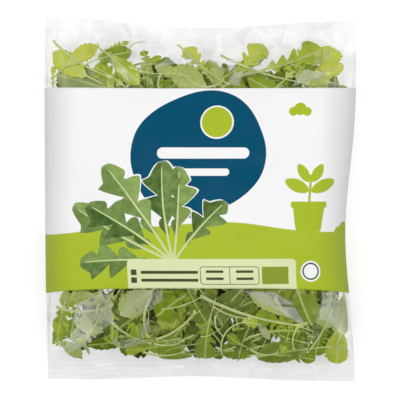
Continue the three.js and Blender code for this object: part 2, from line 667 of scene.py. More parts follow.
def shrunk(points, by):
    """The band's inner wall: the same ring, brought in towards the bag's middle height."""
    inner = points.copy()
    inner[..., 0] -= by * np.clip(points[..., 0] / HALF_WIDTH, -1, 1)
    inner[..., 2] -= by * np.clip((points[..., 2] - SIDE_Z) / 2, -1, 1)
    return inner


def ring_faces(rows, columns, start=0, flip=False):
    """Faces of a tube whose rows are rings of points."""
    row, column = np.divmod(grid_faces(rows, columns + 1, flip=flip), columns + 1)
    return row * columns + column % columns + start


def add_band(material):
    across = np.sin(np.linspace(-1, 1, BAND_COLUMNS + 1) * np.pi / 2)
    half = BAND_COLUMNS // 2
    # Round the bag from the middle of the back, over the left fold, the front and the right fold
    u_ring = np.concatenate([across[half:0:-1], across[:-1], across[:half:-1]])
    face_ring = np.concatenate([-np.ones(half), np.ones(BAND_COLUMNS), -np.ones(half)])
    v = np.linspace(0, 1, BAND_ROWS)[:, None]
    u = np.broadcast_to(u_ring, (BAND_ROWS, len(u_ring)))
    y = lerp(band_edge_bottom(u), band_edge_top(u), v)
    front = band_ring(u, y, 1)
    back = band_ring(u, y, -1)
    outer = np.where(face_ring[None, :, None] > 0, front, back)
    inner = shrunk(outer, BAND_THICKNESS)
    rows, columns = outer.shape[:2]
    size = rows * columns
    faces = np.concatenate(
        [
            ring_faces(rows, columns),
            ring_faces(rows, columns, size, flip=True),
            wall_faces(np.arange(columns), size),
            wall_faces(np.arange(size - columns, size)[::-1], size),
        ]
    )
    band = make_piece("printed_band", stacked(outer, inner), faces, material)
    lay_print(band, print_places(outer, faces))


def print_places(outer, faces):
    """Where the corners of the band's faces are: round the bag from the front's middle, and along it."""
    rows, columns = outer.shape[:2]
    closed = np.concatenate([outer, outer[:, :1]], 1)
    steps = np.linalg.norm(np.diff(closed[..., [0, 2]], axis=1), axis=2)
    round_it = np.concatenate([np.zeros((rows, 1)), np.cumsum(steps, 1)], 1)
    on_back = outer[rows // 2, :, 2] < SIDE_Z
    middle = np.argmin(np.abs(outer[rows // 2, :, 0]) + on_back * WIDTH)
    round_it = round_it - round_it[:, middle : middle + 1]
    row, column = np.divmod(faces % (rows * columns), columns)
    crosses = (column.max(1) - column.min(1) > columns / 2)[:, None]
    column = np.where(crosses & (column == 0), columns, column)
    return np.stack([round_it[row, column], closed[row, column, 1]], -1)


PRINT_EDGE = 0.25  # blur of a printed edge
WHITE = (0.93, 0.93, 0.93, 1)
LIME = srgb(172, 190, 46)
LIME_LIGHT = srgb(190, 206, 84)
DARK_BLUE = srgb(0, 78, 108)
PALE_LIME = srgb(222, 230, 180)
LEAF_PRINT = srgb(150, 176, 100)
LEAF_PRINT_DARK = srgb(60, 90, 36)
LEAF_PRINT_RIB = srgb(206, 218, 158)
INK = srgb(70, 82, 48)
FOLD_PAINTED_SHADE_GREY = (0.1, 0.1, 0.1, 1)
FOLD_PAINTED_SHADE = 0.33  # strength of the painted shade that greys the print towards the side folds, where the film curves away from the light
FOLD_PAINTED_SHADE_REACH = 28
FOLD_PLACE = 106  # distance of the side folds from the middle between them, round the bag
FOLD_MIDDLE = -3
PANEL_GREEN = srgb(140, 156, 50)


def inside(distance, blur=PRINT_EDGE):
    """1 where a signed distance is below zero, and 0 outside."""
    return (0.5 - distance / blur).clamped()


def disc(x, y, centre, radius):
    return ((x - centre[0]) ** 2 + (y - centre[1]) ** 2).root() - radius


def bar(x, y, centre, size, corner=0.01):
    """Signed distance to a bar with rounded corners."""
    over_x = abs(x - centre[0]) - (size[0] / 2 - corner)
    over_y = abs(y - centre[1]) - (size[1] / 2 - corner)
    outside = (over_x.most(0) ** 2 + over_y.most(0) ** 2).root()
    return outside + over_x.most(over_y).least(0) - corner


def turned(x, y, centre, degrees):
    c, s = math.cos(math.radians(degrees)), math.sin(math.radians(degrees))
    dx, dy = x - centre[0], y - centre[1]
    return dx * c + dy * s, dy * c - dx * s


def oval(x, y, centre, size, degrees, power=2.4):
    """A mask-ready measure of a tilted oval, near zero at its edge."""
    a, b = turned(x, y, centre, degrees)
    reach = (abs(a / (size[0] / 2)) ** power + abs(b / (size[1] / 2)) ** power) ** (1 / power)
    return (reach - 1) * (min(size) / 2)


def drawn_leaf(x, y, degrees, length, width, bow):
    """Masks of a lobed leaf, of the space round it, of its lit half and of its rib.
    degrees is how far it leans left of straight up, and bow how far its tip bends aside.
    s runs from 0 at its foot to 1 at its tip."""
    side, up = turned(x, y, SPRAY_FOOT, degrees)
    s = up / length
    side = side - s * s * bow
    t = abs(side)
    sweep = s - t * (0.5 / length)
    phase = (side * 2).clamped() * 0.4
    lobes = 1 - abs((sweep * 4.6 + phase).fraction() * 2 - 1) ** 1.5
    end_lobe = ((sweep - 0.76) * 14).clamped()
    blade_start = ((sweep - 0.24) * 3.2).clamped()
    rounding = ((1 - s) * 6.5).clamped().root()
    half = (lobes * (1 - end_lobe) * 0.78 + 0.2 + end_lobe * 0.45) * blade_start * rounding * width
    on_leaf = (s * 40).clamped() * ((1 - s) * 60).clamped()
    blade = inside(t - half, 0.4) * on_leaf
    around = inside(t - half - 1.1, 0.4) * on_leaf * ((s - 0.3) * 20).clamped()
    lit = (side / 3 + 0.5).clamped()
    rib = inside(t - (0.85 - s * 0.6), 0.35) * on_leaf * ((0.95 - s) * 40).clamped()
    return blade, around, lit, rib


PRINTED_SPRAY = (
    # degrees, length, width, bow, darkness
    (84, 60, 12, -7, 0.5),
    (-34, 50, 11, 6, 0.75),
    (66, 74, 12, 6, 0.3),
    (-8, 60, 12, -6, 0.4),
    (50, 66, 13, -8, 0.8),
    (14, 64, 13, 7, 0.8),
    (31, 76, 13, -7, 0.25),
)
SPRAY_FOOT = (-16, -39)


def print_material():
    shader = Shader("printed_film")
    x, y = (part / MM for part in shader.map_places(PRINT_MAP))
    mottle = shader.noise(220, 3)
    colour = WHITE

    def paint(mask, ink):
        nonlocal colour
        colour = shader.mix(mask, colour, ink)

    turn = x * (math.pi / PRINT_SEAM)
    hill = (turn * 2 + 1.4).sin() * 3.4 + (turn * 5).sin() * 0.8 - 17.8
    field = inside(y - hill)
    paint(field, shader.mix(((y + 60) / 45).clamped() * 0.1, LIME, LIME_LIGHT))
    for middle, radius in PUFFS:
        paint(puff(x, y, middle, radius), LIME)
    blue_oval = inside(oval(x, y, (-2, 29), (84, 76), 24))
    paint(blue_oval, DARK_BLUE)
    for radius, ink in ((10.6, WHITE), (9.6, LIME)):
        paint(inside(disc(x, y, (9, 49), radius)), ink)
    paint(inside(bar(x, y, (1, 29.5), (58, 7), 3.4)), WHITE)
    paint(inside(bar(x, y, (1, 17.5), (34, 4.6), 2.2)), WHITE)
    spray = [(drawn_leaf(x, y, *row[:4]), row[4]) for row in PRINTED_SPRAY]
    for (_, around, _, _), _ in spray:
        paint(around * blue_oval, WHITE)
    for (blade, _, lit, rib), dark in spray:
        shade = (mottle * 0.9 - 0.45 + lit * 0.35 + (0.65 - dark * 0.65)).clamped()
        paint(blade, shader.mix(shade, LEAF_PRINT_DARK, LEAF_PRINT))
        paint(rib, LEAF_PRINT_RIB)
    paint(potted_seedling(x, y), LIME)
    paint_panel(x, y, paint)
    # Painted shade: the print is greyed towards the side folds, where the film turns away from the light
    from_fold = abs(abs(x - FOLD_MIDDLE) - FOLD_PLACE)
    paint((1 - from_fold / FOLD_PAINTED_SHADE_REACH).clamped() * FOLD_PAINTED_SHADE, FOLD_PAINTED_SHADE_GREY)
    normal = shader.bump(0.12, shader.noise(90, 2))
    looks = {"Base Color": colour, "Roughness": 0.45, "Specular IOR Level": 0.06, "Normal": normal}
    return shader.output(shader.node("BsdfPrincipled", None, looks))


PUFFS = (
    # middle, radius of the middle disc: three bushes on the hill, and a cloud
    ((-60, -18), 5),
    ((-49, -18), 3.5),
    ((97, -20), 4.5),
    ((62, 56), 4),
)


def puff(x, y, middle, radius):
    """A bush or a cloud: three discs side by side."""
    side = abs(x - middle[0])
    crown = disc(side, y, (0, middle[1] + radius * 0.4), radius)
    return inside(crown.least(disc(side, y, (radius * 1.1, middle[1]), radius * 0.7)))


def potted_seedling(x, y):
    """A flower pot with a young plant of four leaves."""
    foot = (70, -19)
    side, up = x - foot[0], y - foot[1]
    pot = bar(side / (1 + up * 0.018), up, (0, 7), (17, 16), 1.5)
    rim = bar(side, up, (0, 16), (24, 4), 1.2)
    stalk = bar(side, up, (0, 25), (1.6, 20), 0.6)
    shape = pot.least(rim).least(stalk)
    for place, size, tilt in (
        ((-8.5, 28), (17, 8), -24),
        ((8.5, 28), (17, 8), 24),
        ((-4.5, 36), (13, 6.5), -58),
        ((4.5, 36), (13, 6.5), 58),
    ):
        shape = shape.least(oval(side, up, place, size, tilt, 1.7))
    return inside(shape)


def paint_panel(x, y, paint):
    """The pale information panel, with bars where a pack has small print, and a like panel on the back."""

    def paint_bar(centre, size, corner, ink=INK):
        paint(inside(bar(x, y, centre, size, corner)), ink)

    paint_bar((8, -52), (107, 30), 3, PALE_LIME)
    for row in (-45.5, -50.5):
        paint_bar((-41.5, row), (3.6, 3.6), 0.3)
        paint_bar((-19, row), (36, 1.9), 0.6)
    paint_bar((150, 14), (62, 74), 3, PALE_LIME)
    for i in range(6):
        paint_bar((146 + i % 2 * 2, 42 - i * 6), (46 - i % 3 * 6, 1.7), 0.5)
    outline = abs(bar(x, y, (19, -47.5), (37, 11), 1.6)) - 0.22
    divider = abs(x - 19) - 0.2 + (abs(y + 47.5) - 5.5).most(0) * 4
    paint(inside(outline.least(divider)), INK)
    for centre in ((9.5, -45), (28.5, -45), (9.5, -49.5), (28.5, -49.5)):
        paint_bar(centre, (11, 1.6), 0.5)
    paint_bar((48, -47.5), (17, 11), 0.3, PANEL_GREEN)
    paint(inside(disc(x, y, (71, -45), 6.6)), WHITE)
    paint(inside(abs(disc(x, y, (71, -45), 5)) - 0.5), LEAF_PRINT_DARK)


# Leaves

LEAF_ROWS = 42
LEAF_THICKNESS = 0.28
LEAF_EDGE_THICKNESS = 0.1
RIB_THICKNESS = 1.2
ACROSS = np.array([-1, -0.68, -0.34, -0.001, 0.001, 0.34, 0.68, 1])


# stalk is the share of the length that is bare, tip the half width of the end lobe, tip_share its share
# of the length, web the half width between lobes, and lobes are (share of length, reach, half height)
LEAF_PARTS = "length stalk tip tip_share web lobes lean bend curl rib"
LeafKind = namedtuple("LeafKind", LEAF_PARTS, defaults=[0.85])
BROAD, NARROW, SPOON, OVAL, FEATHERED, ROUND, STALK, ARCH = range(8)
BROAD_LOBES = ((0.40, 6.5, 0.045), (0.52, 9, 0.05), (0.65, 11.5, 0.055))
NARROW_LOBES = ((0.46, 5.5, 0.035), (0.57, 8, 0.04), (0.69, 9.5, 0.045))
FEATHERED_LOBES = ((0.43, 5, 0.04), (0.53, 8, 0.042), (0.64, 7.5, 0.045), (0.75, 10, 0.05))
LEAF_KINDS = (
    LeafKind(84, 0.28, 12.5, 0.26, 2.2, BROAD_LOBES, 0.5, 16, 3.5),
    LeafKind(78, 0.34, 9, 0.20, 1.4, NARROW_LOBES, 0.7, -22, -3),
    LeafKind(70, 0.30, 12.5, 0.52, 3.5, ((0.40, 6, 0.05),), 0.3, 10, 4),
    LeafKind(64, 0.26, 9, 0.56, 2.5, ((0.36, 4.5, 0.05),), 0.3, -14, -4),
    LeafKind(88, 0.36, 8.5, 0.15, 1.3, FEATHERED_LOBES, 0.6, 26, 3),
    LeafKind(72, 0.38, 14, 0.32, 2.5, ((0.50, 7, 0.04), (0.61, 10, 0.05)), 0.45, -26, 5),
    LeafKind(80, 0.90, 1.2, 0.06, 0.5, (), 0, 14, 0, 0.75),
    LeafKind(70, 0.72, 6, 0.16, 1, ((0.80, 4.5, 0.04),), 0.6, -120, 2, 1.0),
)


def half_width(s, kind, side):
    """Half the leaf's width at a share of its length, its stalk included."""
    blade = limited((s - kind.stalk) / (1 - kind.stalk))
    web = kind.web * limited(blade * 8)
    centre = 1 - kind.tip_share * 0.56
    below = limited((centre - s) / (kind.tip_share * 0.62))
    above = limited((s - centre) / (1 - centre))
    tip = kind.tip * np.sqrt(np.maximum(1 - below**2, 0)) * np.maximum(1 - above**2.2, 0) ** 0.7
    width = np.maximum(web * (s < centre) + tip * (s >= centre), tip)
    for place, reach, half in kind.lobes:
        near = 1 - ((s - place - 0.014 * side) / half) ** 2
        width = np.maximum(width, reach * limited(near) ** 0.7)
    ragged = 1 + 0.08 * np.sin(s * 61 + side * 2) + 0.05 * np.sin(s * 113 + side)
    return width * ragged


def leaf_path(s, kind):
    """Places of a leaf's rib from foot to tip, bent as the kind is, with its turn at each."""
    turn = np.radians(kind.bend) * (s - 0.5)
    steps = np.hstack([-np.sin(turn), np.cos(turn)]) * np.diff(s, axis=0, prepend=0) * kind.length
    path = np.cumsum(steps, 0)
    return path - path[-1], turn


def leaf_mesh(name, kind):
    """A thin leaf with its stalk. Its tip is at the origin and points along Y."""
    s = np.linspace(0, 1, LEAF_ROWS)[:, None] ** 0.8
    side = np.sign(ACROSS)
    from_rib = np.abs(ACROSS)
    inner = from_rib < 0.01
    rib = kind.rib * lerp(1, 0.4, s)
    width = np.maximum(half_width(s, kind, side), rib * 1.02)
    offset = side * np.where(inner, rib, lerp(rib, width, from_rib))
    spread = limited((np.abs(offset) - rib) / 12)
    lift = kind.lean * (1 - limited((s - 0.72) / 0.2)) * (np.abs(offset) - rib)
    path, turn = leaf_path(s, kind)
    x = path[:, :1] + offset * np.cos(turn) - lift * np.sin(turn)
    y = path[:, 1:] + offset * np.sin(turn) + lift * np.cos(turn)
    blade = limited((s - kind.stalk) * 6)
    ripple = 2 * np.sin(s * 34 + side * 1.3) * spread
    z = (kind.curl * spread**2 + ripple) * blade + 1.5 * np.sin(s * 7)
    thick = np.where(inner, RIB_THICKNESS * lerp(1, 0.5, s), LEAF_THICKNESS)
    thick = np.where(from_rib > 0.99, LEAF_EDGE_THICKNESS, thick)
    sides = [np.stack([x, y, z + thick * part], -1) for part in (0.35, -0.65)]
    mesh = make_mesh(name, stacked(*sides), plate_faces(LEAF_ROWS, len(ACROSS)))
    looks = {"off_rib": offset, "along": s * kind.length, "stalk": 1 - blade, "edge": from_rib * blade}
    for look, values in looks.items():
        add_values(mesh, look, np.tile(np.broadcast_to(values, x.shape).ravel(), 2))
    return mesh


def leaf_collection():
    """One object for each kind of leaf, kept out of the scene, for the scattering nodes to copy."""
    kinds = bpy.data.collections.new("leaf_kinds")
    for i, kind in enumerate(LEAF_KINDS):
        kinds.objects.link(bpy.data.objects.new(f"leaf_{i}", leaf_mesh(f"leaf_{i}", kind)))
    return kinds


def scatter_tree(kinds, material):
    """Geometry nodes that put a leaf of the wanted kind, turn and size at each point."""
    tree = bpy.data.node_groups.new("scatter_leaves", "GeometryNodeTree")
    for name, way, kind in (
        ("Points", "INPUT", "NodeSocketGeometry"),
        ("Size", "INPUT", "NodeSocketFloat"),
        ("Leaves", "OUTPUT", "NodeSocketGeometry"),
    ):
        tree.interface.new_socket(name, in_out=way, socket_type=kind)

    def add(kind, settings=None, inputs=None):
        return add_node(tree, kind, settings, inputs).outputs

    def stored(name, data_type):
        return add("GeometryNodeInputNamedAttribute", {"data_type": data_type}, {"Name": name})["Attribute"]

    entry = add("NodeGroupInput")
    copied = {"Collection": kinds, "Separate Children": True, "Reset Children": True}
    copies = add("GeometryNodeCollectionInfo", {"transform_space": "ORIGINAL"}, copied)
    turn = add("FunctionNodeEulerToRotation", None, {0: stored("turn", "FLOAT_VECTOR")})
    sizes = {0: stored("size", "FLOAT"), 1: entry["Size"]}
    size = add("ShaderNodeMath", {"operation": "MULTIPLY"}, sizes)[0]
    scale = add("ShaderNodeCombineXYZ", None, {0: stored("across", "FLOAT"), 1: size, 2: size})
    placing = {
        "Points": entry["Points"],
        "Instance": copies[0],
        "Pick Instance": True,
        "Instance Index": stored("kind", "INT"),
        "Rotation": turn[0],
        "Scale": scale[0],
    }
    placed = add("GeometryNodeInstanceOnPoints", None, placing)
    real = add("GeometryNodeRealizeInstances", None, {"Geometry": placed[0]})
    finish = add("GeometryNodeSetMaterial", None, {"Geometry": real[0], "Material": material})
    add("NodeGroupOutput", None, {"Leaves": finish[0]})
    return tree


# How much darker the deep leaves are painted, as painted shade from the leaves above them, and how much
# paler all of them are, at each end of the bag
HEAD_LEAF_SHADE = 0.3
TAIL_LEAF_SHADE = 1.0
HEAD_LEAF_LIFT = 0.18
TAIL_LEAF_LIFT = 0.06
DEEP_LAYERS = 0.8  # share of the room between the sheets that the random leaves fill


def leaf_plan(rng, count, outward, left, kinds, sizes, layers, tints):
    """Random leaves for one window, lowest first: tip x and y, turn, kind, size, across, tint, layer.
    outward is 1 for the head of the bag and -1 for its tail. left is how far left the leaves reach."""
    rows = []
    for i in range(count):
        layer = lerp(*layers, (i + 0.5) / count)
        kind = kinds[int(rng.integers(0, len(kinds)))]
        size = rng.uniform(*sizes)
        turn = rng.uniform(-78, 78) + (0 if outward > 0 else 180)
        reach = size * LEAF_KINDS[kind].length
        run = -reach * math.sin(math.radians(turn))
        rise = reach * math.cos(math.radians(turn))
        middle = rng.uniform(left + abs(run) / 2, 92 - abs(run) / 2)
        end_y = outward * rng.uniform(66, 87 if outward > 0 else 98)
        tip = (middle + run / 2, end_y)
        if rng.random() < 0.4:
            turn += 180
            tip = (middle - run / 2, end_y - rise)
        tint = rng.uniform(*tints)
        rows.append((*tip, turn, kind, size, size * rng.uniform(0.8, 1.2), tint, layer))
    return rows


# Leaves seen best through each window, from the photograph, lowest first:
# foot x and y, tip x and y, kind, tint, and how wide it is for its length.
# A tint of 1 and more is that of a leaf which shows its paler underside, plus 1.
TOP_LEAVES = (
    (-92, 58, -95, 86, NARROW, 0.8, 0.8),
    (-52, 58, -62, 86, OVAL, 0.68, 1.0),
    (-50, 56, -53, 79, BROAD, 0.12, 0.8),
    (-44, 64, -92, 80, SPOON, 1.1, 1.25),
    (-42, 66, -68, 85, BROAD, 0.5, 1.5),
    (-24, 56, -34, 81, ROUND, 0.2, 0.9),
    (-28, 66, -37, 88, SPOON, 1.4, 0.9),
    (-20, 84, -34, 90, NARROW, 0.35, 1.2),
    (-36, 86, -25, 92, OVAL, 0.4, 1.2),
    (-34, 72, -37, 96, FEATHERED, 0.42, 1.2),
    (24, 60, 8, 85, ROUND, 1.55, 1.1),
    (14, 60, -18, 84, SPOON, 1.5, 1.2),
    (-5, 78, -29, 86, OVAL, 1.7, 1.2),
    (10, 70, -10, 98, BROAD, 0.85, 1.1),
    (60, 60, 54, 82, NARROW, 0.0, 1.2),
    (86, 66, 62, 86, SPOON, 0.25, 1.3),
    (44, 64, 58, 87, BROAD, 0.2, 1.4),
    (64, 64, 30, 78, OVAL, 0.35, 1.2),
    (84, 56, 83, 99, ROUND, 0.97, 1.1),
    (40, 66, 72, 102, FEATHERED, 0.55, 1.2),
    (24, 80, 78, 97, BROAD, 0.55, 1.0),
    (12, 76, 42, 93, OVAL, 0.45, 0.8),
    (10, 68, 40, 101, BROAD, 0.82, 1.2),
    (62, 74, 92, 86, OVAL, 0.9, 1.2),
    (92, 70, 68, 76, NARROW, 0.7, 1.4),
    (94, 72, 60, 79, SPOON, 1.7, 0.9),
    (-62, 74, -95, 95, OVAL, 0.97, 1.3),
    (-92, 80, -66, 99, OVAL, 0.85, 1.2),
    (-74, 86, -44, 95, OVAL, 0.32, 1.4),
    (-66, 93, -46, 102, NARROW, 0.6, 0.8),
    (-66, 98, -39, 73, OVAL, 0.62, 1.2),
    (-95, 103, -56, 78, STALK, 0.9, 1.3),
    (-66, 101, -57, 94, STALK, 0.8, 1.0),
    (-35, 103, -47, 95, STALK, 0.8, 0.9),
    (-15, 102, 19, 73, STALK, 0.8, 1.1),
    (13, 93, 70, 74, STALK, 0.95, 1.2),
    (-46, 85, -15, 81, STALK, 0.8, 0.9),
    (-25, 80, -23, 66, STALK, 0.8, 1.1),
    (0, 72.5, 15, 77, STALK, 0.8, 1.0),
    (22, 78, 76, 95, STALK, 0.8, 0.6),
)
BOTTOM_LEAVES = (
    (-46, -46, -70, -78, ROUND, 0.3, 1.2),
    (-50, -80, -64, -94, OVAL, 0.3, 1.5),
    (84, -90, 56, -88, BROAD, 0.35, 1.6),
    (66, -72, 58, -94, SPOON, 0.3, 1.5),
    (-44, -44, -53, -73, BROAD, 0.1, 1.0),
    (-20, -64, -60, -88, BROAD, 0.06, 1.1),
    (-72, -44, -92, -86, BROAD, 0.6, 0.9),
    (-56, -46, -72, -86, BROAD, 1.8, 1.5),
    (-50, -50, -64, -79, BROAD, 1.75, 1.4),
    (-82, -50, -88, -68, SPOON, 1.7, 0.9),
    (-62, -57, -84, -63, OVAL, 1.75, 1.6),
    (-84, -60, -92, -91, BROAD, 0.42, 1.2),
    (-74, -56, -83, -89, BROAD, 0.3, 1.1),
    (-62, -68, -86, -98.5, NARROW, 1.6, 1.9),
    (-20, -51, -51, -73, SPOON, 1.8, 1.3),
    (-30, -86, -72, -93, OVAL, 0.2, 0.7),
    (-15, -89, -52, -94, NARROW, 0.25, 1.3),
    (-28, -90, -57, -91, SPOON, 1.7, 0.8),
    (-33, -70, -37, -88, NARROW, 1.6, 1.3),
    (-18, -92, -48, -96, ROUND, 0.6, 0.6),
    (-76, -94, -98, -90, NARROW, 0.45, 0.9),
    (-70, -89.5, -80, -89.5, OVAL, 0.95, 1.4),
    (34, -84, 8, -101, NARROW, 0.15, 1.2),
    (38, -86, 14, -99, BROAD, 0.2, 1.3),
    (47, -91, 14, -96.5, OVAL, 0.3, 1.5),
    (24, -93, -4, -97, NARROW, 0.3, 1.6),
    (0, -92, -27, -99, BROAD, 0.3, 1.2),
    (-2, -95, -27, -100.5, OVAL, 0.35, 1.1),
    (4, -98, -26, -99, OVAL, 0.3, 1.1),
    (30, -62, 12, -84, BROAD, 0.05, 1.3),
    (12, -50, -28, -74, BROAD, 0.36, 1.3),
    (0, -70, -20, -92, BROAD, 0.35, 1.1),
    (-4, -86, -34, -95, OVAL, 0.42, 1.2),
    (-12, -88, -42, -91.5, OVAL, 0.4, 0.9),
    (-12, -44, 4, -78, BROAD, 0.12, 1.1),
    (-6, -50, 14, -80, OVAL, 0.05, 1.2),
    (32, -48, 10, -72, OVAL, 0.05, 1.6),
    (10, -62, 3, -103, BROAD, 0.38, 1.2),
    (44, -58, 18, -70, OVAL, 0.12, 1.2),
    (8, -66, 26, -72, OVAL, 0.15, 2.0),
    (30, -94, 17, -86, OVAL, 0.35, 1.6),
    (32, -80, 20, -82, NARROW, 0.45, 1.5),
    (24, -106, 31, -81, OVAL, 0.1, 1.5),
    (30, -100, 74, -103, NARROW, 0.4, 0.9),
    (86, -94, 36, -101, SPOON, 0.3, 0.9),
    (30, -88, 64, -84, NARROW, 0.42, 1.4),
    (74, -92, 50, -86, OVAL, 0.3, 1.3),
    (72, -84, 34, -75, BROAD, 0.45, 1.1),
    (56, -84, 52, -98, OVAL, 0.6, 1.6),
    (70, -82, 31, -59, SPOON, 1.8, 0.6),
    (33, -74, 44, -89, OVAL, 1.8, 1.0),
    (84, -70, 74, -100, BROAD, 0.36, 1.3),
    (58, -44, 71, -80, SPOON, 0.3, 1.4),
    (88, -44, 80, -82, BROAD, 1.5, 1.2),
    (93, -48, 89, -87, OVAL, 1.6, 1.6),
    (91, -70.5, 88, -106.5, SPOON, 0.72, 1.3),
    (-92, -68, -55, -66, STALK, 0.95, 1.5),
    (-64, -66, -61, -76, STALK, 0.9, 1.3),
    (-31, -62, -33, -88, STALK, 0.8, 1.5),
    (-57, -77, -31, -92, STALK, 0.9, 0.9),
    (-25, -69, 1, -61, STALK, 0.8, 0.7),
    (-37, -97, -10, -97, STALK, 0.8, 1.2),
    (-30, -91.5, -10, -89.5, STALK, 0.8, 1.0),
    (-29, -89, -3, -70, STALK, 0.95, 1.2),
    (0, -87, 12, -82, STALK, 0.8, 0.6),
    (8, -67, 32, -75, STALK, 0.8, 0.9),
    (10, -73, 15, -87, STALK, 0.8, 1.1),
    (32, -95, 50, -97, STALK, 0.8, 1.3),
    (15, -101, 37, -79, ARCH, 0.6, 1.2),
    (64, -79, 60, -96, STALK, 0.7, 1.1),
    (0, -60, 66, -80, STALK, 0.9, 1.5),
    (47, -61, 68, -79, STALK, 0.9, 1.4),
    (69, -97, 87, -60, STALK, 0.9, 0.9),
    (87, -92, 95, -62, STALK, 0.9, 0.8),
)


def chord_share(kind):
    """How far a bent leaf reaches from foot to tip, as a share of its length."""
    half = abs(math.radians(LEAF_KINDS[kind].bend)) / 2
    return math.sin(half) / half


def placed_by_eye(leaves):
    """The rows of leaves that run from a foot to a tip."""
    rows = []
    for i, (foot_x, foot_y, tip_x, tip_y, kind, tint, wide) in enumerate(leaves):
        reach = math.hypot(tip_x - foot_x, tip_y - foot_y)
        turn = math.degrees(math.atan2(foot_x - tip_x, tip_y - foot_y))
        size = reach / (LEAF_KINDS[kind].length * chord_share(kind))
        across = wide if kind == STALK else wide * size
        layer = DEEP_LAYERS + 0.02 + (0.97 - DEEP_LAYERS) * i / len(leaves)
        rows.append((tip_x, tip_y, turn, kind, size, across, tint, layer))
    return rows


def scattered(name, rows, shade, lift, tree):
    """The leaves of these rows as one plain mesh, still flat on the table.
    shade paints the deep ones darker, as painted shade from the leaves above them, and lift makes them all
    paler."""
    tip_x, tip_y, turns, kinds, size, across, tints, layer = np.array(rows).T
    mesh = bpy.data.meshes.new(name)
    mesh.from_pydata([(x * MM, y * MM, 0) for x, y in zip(tip_x, tip_y)], [], [])
    add_values(mesh, "turn", [(0, 0, math.radians(turn)) for turn in turns], "FLOAT_VECTOR")
    add_values(mesh, "kind", kinds.astype(int), "INT")
    underside = tints >= 1
    looks = {
        "size": size,
        "across": across,
        "tint": tints - underside + lift,
        "underside": underside,
        "layer": layer,
        # painted shade: the deeper a leaf lies, the darker it is painted
        "shade": shade * limited(0.85 - layer),
        "hue": np.random.default_rng(len(rows)).random(len(rows)),
    }
    for look, values in looks.items():
        add_values(mesh, look, values)
    source = add_object(name + "_points", mesh)
    modifier = source.modifiers.new("scatter", "NODES")
    modifier.node_group = tree
    sockets = {item.name: item.identifier for item in tree.interface.items_tree}
    modifier[sockets["Size"]] = 1.0
    evaluated = source.evaluated_get(bpy.context.evaluated_depsgraph_get())
    made = bpy.data.meshes.new_from_object(evaluated)
    bpy.data.objects.remove(source)
    made.name = name
    return made


def read_values(mesh, name):
    values = np.zeros(len(mesh.vertices), np.float32)
    mesh.attributes[name].data.foreach_get("value", values)
    return values


# Where leaves are eased away from the side folds, the seals and the sheets, and how far they still go
EASE_U = 0.93
EASE_U_REACH = 0.05
EASE_END = 7
EASE_END_REACH = 5
EASE_SHEET_REACH = 0.35


def eased(value, start, reach):
    """value up to start, then ever slower, never past start + reach."""
    over = np.maximum(value - start, 0)
    return np.minimum(value, start) + reach * (1 - np.exp(-over / reach))


def off_seal(distance):
    """Distance from a seal, eased so that no leaf runs into the seal."""
    return EASE_END - eased(EASE_END - distance, 0, EASE_END_REACH)


def lay_between_sheets(mesh):
    """Moves flat leaves to their layers between the back and the front sheet of the film."""
    points = np.zeros(len(mesh.vertices) * 3, np.float32)
    mesh.vertices.foreach_get("co", points)
    points = points.reshape(-1, 3).astype(float) / MM
    layer = read_values(mesh, "layer").astype(float)
    x, y, z = points.T
    u = width_share(x, y)
    u = np.sign(u) * eased(np.abs(u), EASE_U, EASE_U_REACH)
    highest = top_edge(u) - SEAL
    lowest = bottom_edge(u) + SEAL
    y = highest - off_seal(highest - y)
    y = lowest + off_seal(y - lowest)
    front = film_heights(u, y, 1, crumpled=False) - 0.9
    back = film_heights(u, y, -1, crumpled=False) + 0.5
    room = front - back
    wander = 0.05 * np.sin(x / 9 + layer * 40) + 0.05 * np.sin(y / 8 + layer * 70)
    share = np.clip(layer + wander * (layer < DEEP_LAYERS), 0.02, 0.985)
    height = back + room * share + z * np.clip(room / 25, 0.1, 0.8)
    height = eased(height, front, EASE_SHEET_REACH)
    height = back - eased(back - height, 0, EASE_SHEET_REACH)
    laid = np.stack([place_across(u, y), y, height], 1) * MM
    mesh.vertices.foreach_set("co", laid.astype(np.float32).ravel())
    mesh.update()


def add_leaves(name, rows, shade, lift, tree):
    mesh = scattered(name, rows, shade, lift, tree)
    lay_between_sheets(mesh)
    finish_piece(add_object(name, mesh))


# LEAF_DEEP is the darkest leaf green, and also the colour of the painted shade on the deep leaves
LEAF_DEEP = srgb(34, 50, 0)
LEAF_DARK = srgb(98, 130, 8)
LEAF_FRESH = srgb(172, 194, 48)
LEAF_PALE = srgb(228, 232, 100)
LEAF_GREY = srgb(150, 170, 92)
LEAF_UNDERSIDE = srgb(196, 208, 156)
UNDERSIDE_SHARE = 0.5
STALK_COLOUR = srgb(230, 238, 166)
VEIN_COLOUR = srgb(214, 228, 146)
LEAF_GLOW = srgb(190, 214, 60)


